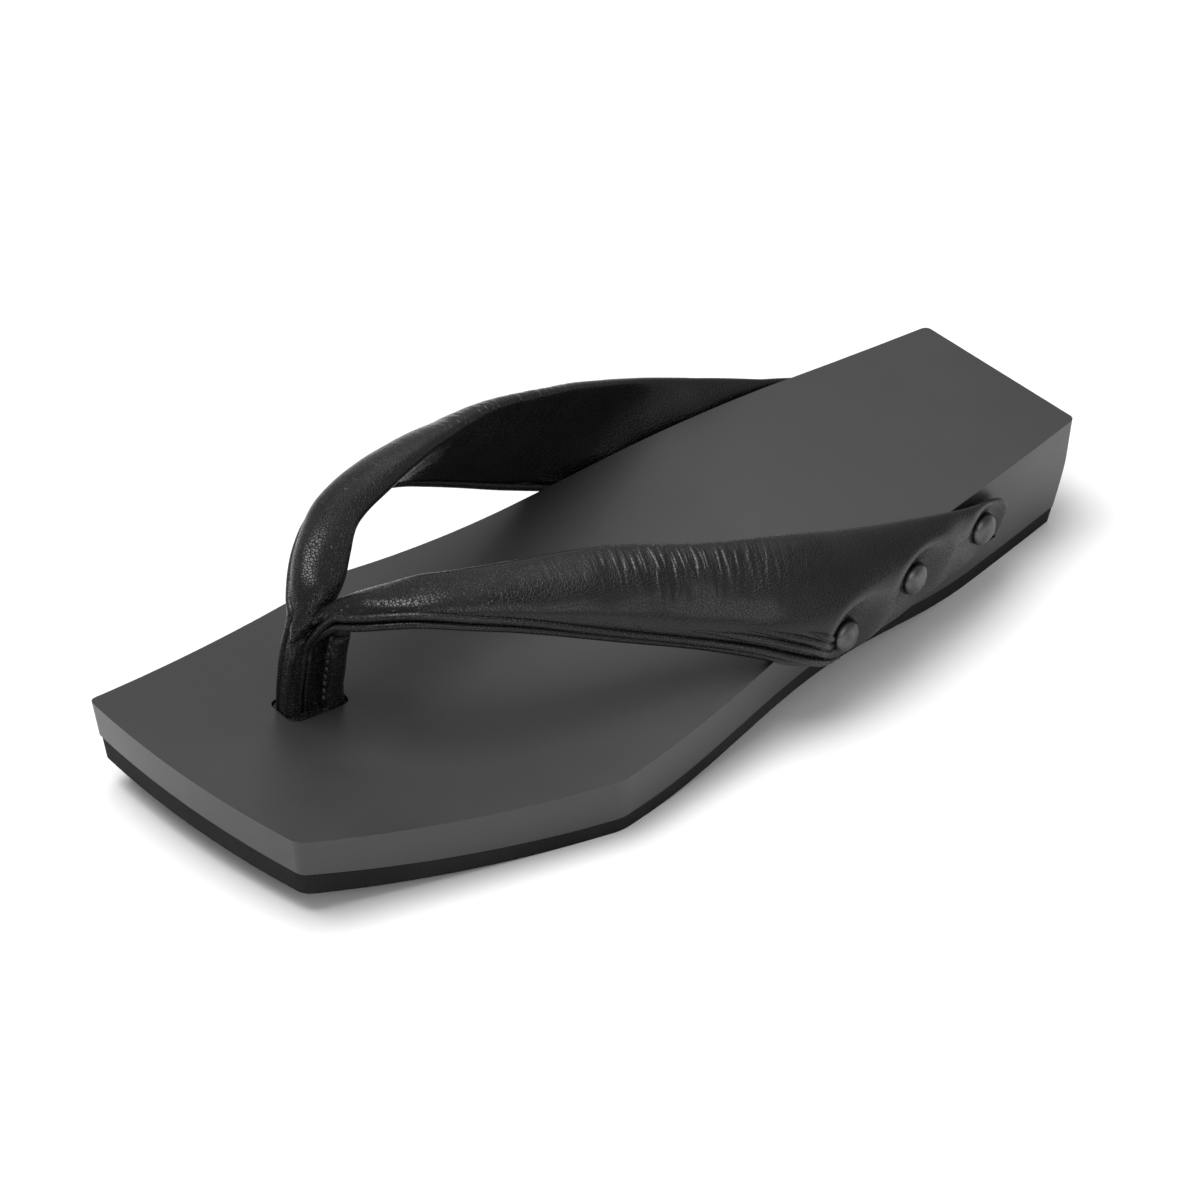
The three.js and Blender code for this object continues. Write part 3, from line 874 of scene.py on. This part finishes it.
@dataclass
class Piping:
    """The pair of rolled beads along a strap's front edge and down the thong, and the folds above them."""

    strap: PaddedStrap
    thong: ToeThong
    radius: float = 1.0
    root_share: float = 0.4
    tip_share: float = 0.25
    ring_points: int = 12
    steps: int = 280
    low: float = 11.0
    thong_points: int = 7
    strap_points: int = 31
    reach: float = 0.95
    first_fold: float = 4.4
    fold_pitch: float = 2.0
    fold_points: int = 25
    fold_reach: tuple[Pair, ...] = ((0.6, 0.94), (0.66, 0.93), (0.74, 0.92))

    def strap_point(self, t: float, course: BeadCourse) -> Vector:
        """Returns a bead's middle on the strap's front edge at t."""
        front, _, _, across, outer = self.strap.frame_at(t)
        return front + across * course.inset + outer * course.rise

    def path(self, course: BeadCourse) -> list[Vector]:
        """Returns a bead's line from inside the slot to its end on the strap, in millimetres."""
        line = []
        for k in range(self.thong_points):
            z = self.low + (course.top - self.low) * k / (self.thong_points - 1)
            line.append(Vector((self.thong.x + course.across, self.thong.middle(z) + course.along, z)))
        for k in range(self.strap_points):
            t = course.start + (self.reach - course.start) * k / (self.strap_points - 1)
            line.append(self.strap_point(t, course))
        return line

    def folds(self) -> list[list[Vector]]:
        """Returns the lines of the folded layers above the beads, in millimetres."""
        lines = []
        for k, (start, end) in enumerate(self.fold_reach):
            span = [start + (end - start) * i / (self.fold_points - 1) for i in range(self.fold_points)]
            away = self.first_fold + self.fold_pitch * k
            lines.append([self.strap.surface_point(t, away, 0.75 - 0.25 * bell(t, 0.85, 0.12)) for t in span])
        return lines

    def draw(self, mesh: bmesh.types.BMesh) -> None:
        """Adds both beads and the folded layers to a mesh."""
        beads = [self.path(course) for course in BEAD_COURSES if course.side is self.strap.side]
        for line in (*beads, *self.folds()):
            places = [smooth_line(line, i / self.steps) for i in range(self.steps + 1)]
            Skin(mesh).draw(self.rings(places))

    def rings(self, places: list[Vector]) -> list[list[Vector]]:
        """Returns round rings square to a line of places, thinner at its far end, in metres."""
        side = Vector((0, 1, 0))
        rings = []
        for i, place in enumerate(places):
            along = (places[min(i + 1, len(places) - 1)] - places[max(i - 1, 0)]).normalized()
            side = (side - along * side.dot(along)).normalized()
            up = along.cross(side)
            share = i / (len(places) - 1)
            root = self.root_share + (1 - self.root_share) * smooth_step(0.0, 0.2, share)
            tip = 1 - (1 - self.tip_share) * smooth_step(0.85, 1.0, share)
            radius = self.radius * root * tip
            angles = [2 * math.pi * k / self.ring_points for k in range(self.ring_points)]
            rings.append([(place + radius * (side * math.cos(a) + up * math.sin(a))) * MM for a in angles])
        return rings


@dataclass
class ThongStitches:
    """The short stitches in the seam between the thong's flange and column."""

    thong: ToeThong
    count: int = 9
    low: float = 21.0
    high: float = 37.0
    size: Triple = (0.45, 0.5, 0.75)

    def draw(self, mesh: bmesh.types.BMesh) -> None:
        """Adds the stitches of both sides to a mesh."""
        for side in Side:
            for k in range(self.count):
                z = self.low + (self.high - self.low) * k / (self.count - 1)
                place = Vector((self.thong.x + side.value * 4.0, self.thong.middle(z) + 1.4, z)) * MM
                shape = Matrix.Translation(place) @ Matrix.Diagonal((*(v * MM for v in self.size), 1.0))
                bmesh.ops.create_icosphere(mesh, subdivisions=2, radius=1.0, matrix=shape)


@dataclass
class StrapSet:
    """Both straps, their thong, piping and stitches."""

    sole: SoleShape

    def build(self) -> list[bpy.types.Object]:
        """Builds the leather pieces.

        Returns:
            The padded straps, the piping and the stitches.
        """
        thong = ToeThong()
        tables = ((Side.LATERAL, LATERAL_ROWS), (Side.MEDIAL, MEDIAL_ROWS))
        straps = [PaddedStrap(side, rows, self.sole) for side, rows in tables]
        leather = LEATHER.material()
        body = bmesh.new()
        body.verts.layers.float_vector.new("strap_measure")
        body.verts.layers.float.new("strap_grain")
        for part in (*straps, thong):
            part.draw(body)
        padded = self.closed("padded_straps", body, leather)
        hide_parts("straps")
        beads = bmesh.new()
        for strap in straps:
            Piping(strap, thong).draw(beads)
        piping = self.closed("strap_piping", beads, PIPING_LEATHER.material())
        thread = bmesh.new()
        ThongStitches(thong).draw(thread)
        stitches = self.closed("thong_stitches", thread, THREAD.material())
        return [padded, piping, stitches]

    @staticmethod
    def closed(name: str, mesh: bmesh.types.BMesh, material: bpy.types.Material) -> bpy.types.Object:
        """Turns a mesh's faces outwards and makes a leather piece of it."""
        bmesh.ops.recalc_face_normals(mesh, faces=mesh.faces)
        return finish_piece(object_from(name, mesh), material)


# ---------------------------------------------------------------- the nails


@dataclass
class DomeNail:
    """A dome-headed tack that stands square to the platform's side."""

    side: Side
    place: str
    sole: SoleShape
    head_radius: float = 4.3
    head_height: float = 2.7
    rim: float = 0.5
    seat: float = 2.6
    shank_radius: float = 1.2
    shank_length: float = 12.0
    point_length: float = 2.4
    dome_steps: int = 12

    def profile(self) -> list[Vector]:
        """Returns half the nail's outline in its XZ plane, from its tip to its crown."""
        shank, head = self.shank_radius, self.head_radius
        line = [(0.0, -self.shank_length), (shank, self.point_length - self.shank_length), (shank, -0.3)]
        line += [(shank + 0.3, 0.0), (head - 0.25, 0.0), (head, 0.2)]
        dome = self.head_height - self.rim
        for k in range(self.dome_steps + 1):
            angle = math.pi / 2 * k / self.dome_steps
            line.append((head * math.cos(angle), self.rim + dome * math.sin(angle)))
        return [Vector((x if x > 1e-6 else 0.0, 0, z)) for x, z in line]

    def build(self, material: bpy.types.Material) -> bpy.types.Object:
        """Spins the profile, sets the nail in the side and returns it."""
        mesh = bmesh.new()
        verts = [mesh.verts.new(point * MM) for point in self.profile()]
        edges = [mesh.edges.new(pair) for pair in zip(verts, verts[1:])]
        bmesh.ops.spin(mesh, geom=verts + edges, axis=(0, 0, 1), cent=(0, 0, 0), steps=40, angle=2 * math.pi,
                       use_merge=True)
        bmesh.ops.remove_doubles(mesh, verts=mesh.verts, dist=0.001 * MM)
        y, z = NAIL_PLACES[self.place]
        centre, outward = self.sole.on_side(self.side, y, z, self.seat)
        turn = outward.to_track_quat("Z", "Y").to_matrix().to_4x4()
        bmesh.ops.transform(mesh, matrix=Matrix.Translation(centre * MM) @ turn, verts=mesh.verts)
        bmesh.ops.recalc_face_normals(mesh, faces=mesh.faces)
        name = f"{self.side.name.lower()}_{self.place}"
        piece = finish_piece(object_from(f"dome_nail_{name}", mesh), material)
        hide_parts(f"nail_{name}")
        return piece


# ---------------------------------------------------------------- the studio


@dataclass(frozen=True)
class SoftBox:
    """A soft lamp that faces the shoe: its place and size in metres and its power in watts."""

    name: str
    place: Triple
    size: Pair
    power: float

    def hang(self) -> None:
        """Hangs the lamp."""
        data = bpy.data.lights.new(self.name, "AREA")
        data.shape, data.size, data.size_y, data.energy = "RECTANGLE", *self.size, self.power
        lamp = bpy.data.objects.new(self.name, data)
        lamp.location = self.place
        lamp.rotation_euler = (-Vector(self.place)).to_track_quat("-Z", "Y").to_euler()
        bpy.context.scene.collection.objects.link(lamp)


SOFT_BOXES = (
    SoftBox("key_box", (-0.3, -0.3, 1.55), (1.1, 1.1), 26.0),
    SoftBox("top_box", (-0.5, 0.6, 1.6), (1.2, 1.2), 3.0),
    SoftBox("back_box", (-2.0, 1.6, 1.4), (3.0, 2.0), 2.0),
    SoftBox("side_box", (1.4, -0.3, 0.8), (1.2, 1.0), 5.5),
)


@dataclass
class Studio:
    """The camera, the floor and the lights, in metres."""

    camera_place: Triple = (0.5709, -0.4324, 0.5582)
    target: Triple = (0.0, -0.006, 0.02)
    roll_degrees: float = -1.7815
    lens: float = 108.57
    floor_tone: float = 0.86
    world_strength: float = 0.42

    def camera(self) -> None:
        """Makes the camera and makes it the scene's."""
        data = bpy.data.cameras.new("camera")
        data.lens, data.sensor_width = self.lens, 36.0
        data.clip_start, data.clip_end = 0.02, 50.0
        place = Vector(self.camera_place)
        back = (place - Vector(self.target)).normalized()
        right = Vector((0, 0, 1)).cross(back).normalized()
        up = back.cross(right)
        c, s = math.cos(math.radians(self.roll_degrees)), math.sin(math.radians(self.roll_degrees))
        axes = Matrix((c * right + s * up, c * up - s * right, back)).transposed()
        camera = bpy.data.objects.new("camera", data)
        camera.matrix_world = Matrix.Translation(place) @ axes.to_4x4()
        bpy.context.scene.collection.objects.link(camera)
        bpy.context.scene.camera = camera

    def floor(self) -> None:
        """Lays a plain pale floor at ground height."""
        mesh = bmesh.new()
        bmesh.ops.create_grid(mesh, x_segments=1, y_segments=1, size=6.0)
        piece = object_from("floor", mesh)
        material = bpy.data.materials.new("pale_floor")
        material.use_nodes = True
        shader = material.node_tree.nodes["Principled BSDF"]
        shader.inputs["Base Color"].default_value = (self.floor_tone,) * 3 + (1.0,)
        shader.inputs["Roughness"].default_value = 0.9
        shader.inputs["Specular IOR Level"].default_value = 0.1
        piece.data.materials.append(material)

    def lights(self) -> None:
        """Lights the studio from a bright room and soft boxes."""
        world = bpy.data.worlds.new("studio")
        world.use_nodes = True
        world.node_tree.nodes["Background"].inputs["Color"].default_value = (1, 1, 1, 1)
        world.node_tree.nodes["Background"].inputs["Strength"].default_value = self.world_strength
        bpy.context.scene.world = world
        for box in SOFT_BOXES:
            box.hang()
        bpy.context.scene.view_settings.view_transform = "Standard"

    def build(self) -> None:
        """Makes the whole studio."""
        self.camera()
        self.floor()
        self.lights()


def main() -> None:
    """Builds the studio and the shoe."""
    logging.basicConfig(level=logging.INFO, format="%(name)s %(message)s")
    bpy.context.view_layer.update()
    Studio().build()
    sole = SoleShape()
    HardPiece("platform", "wooden_platform", 0.6, Slot.PAINT, PAINT, RIM_PAINTED_SHADE).build()
    HardPiece("outsole", "rubber_outsole", 0.5, Slot.RUBBER, RUBBER).build()
    StrapSet(sole).build()
    metal = GUNMETAL.material()
    for side in Side:
        for place in NAIL_PLACES:
            DomeNail(side, place, sole).build(metal)
    bpy.context.view_layer.update()


if __name__ == "__main__":
    main()
